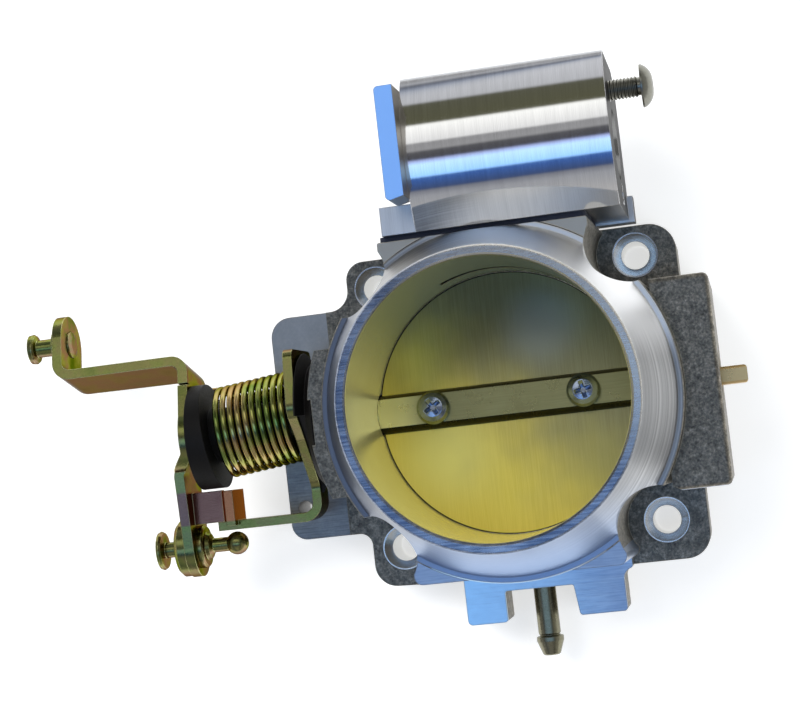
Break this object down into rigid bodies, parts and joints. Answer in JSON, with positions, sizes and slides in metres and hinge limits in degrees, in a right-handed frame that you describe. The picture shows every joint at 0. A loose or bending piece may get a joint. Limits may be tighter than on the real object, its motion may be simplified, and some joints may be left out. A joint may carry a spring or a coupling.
{
  "type": "throttle body",
  "caption": "Single-bore cable throttle body: square flange, flared air horn, butterfly plate on a cross shaft, sprung lever and a side housing for the idle valve.",
  "frame": {"origin": "bore centre on the flange's mounting face", "axes": "+Z along the bore towards the air horn, +X towards the throttle-sensor side, -X towards the lever, +Y towards the idle-air housing"},
  "size_m": [0.1752, 0.1383, 0.074],
  "materials": {
    "cast_aluminium": "sand cast with machined faces",
    "billet_aluminium": "brushed",
    "gasket_black": "matte",
    "screw_steel": "zinc plated",
    "dark_steel": "plain",
    "shaft_steel": "ground",
    "brass_plate": "brushed",
    "bearing_steel": "ground",
    "seal_rubber": "matte",
    "black_plastic": "moulded",
    "yellow_zinc": "yellow zinc",
    "nipple_steel": "plated"
  },
  "bodies": {
    "casting": {"throttle_body": "cast_aluminium", "iac_housing": "billet_aluminium", "iac_end_cap": "billet_aluminium", "iac_gasket": "gasket_black", "iac_housing_screws": "screw_steel", "iac_retaining_screw": "dark_steel", "shaft_bearing_left": "bearing_steel", "shaft_bearing_right": "bearing_steel", "shaft_seal": "seal_rubber", "spring_spool": "black_plastic", "spring_bracket": "yellow_zinc", "bracket_screws": "yellow_zinc", "return_spring": "yellow_zinc", "vacuum_nipple": "nipple_steel"},
    "butterfly": {"throttle_shaft": "shaft_steel", "throttle_plate": "brass_plate", "plate_screws": "screw_steel", "spring_sleeve": "black_plastic", "throttle_lever": "yellow_zinc", "cable_stud": "yellow_zinc", "link_stud": "yellow_zinc", "ball_stud": "yellow_zinc"}
  },
  "joints": [
    {"name": "throttle_shaft_turn", "type": "hinge", "parent": "casting", "child": "butterfly", "pos_m": [0, 0, 0.032], "axis": [-1, 0, 0], "range_deg": [0, 82], "stiffness_Nm_per_rad": 0.2, "springref_deg": -68.75, "deforming": ["return_spring"]}
  ]
}
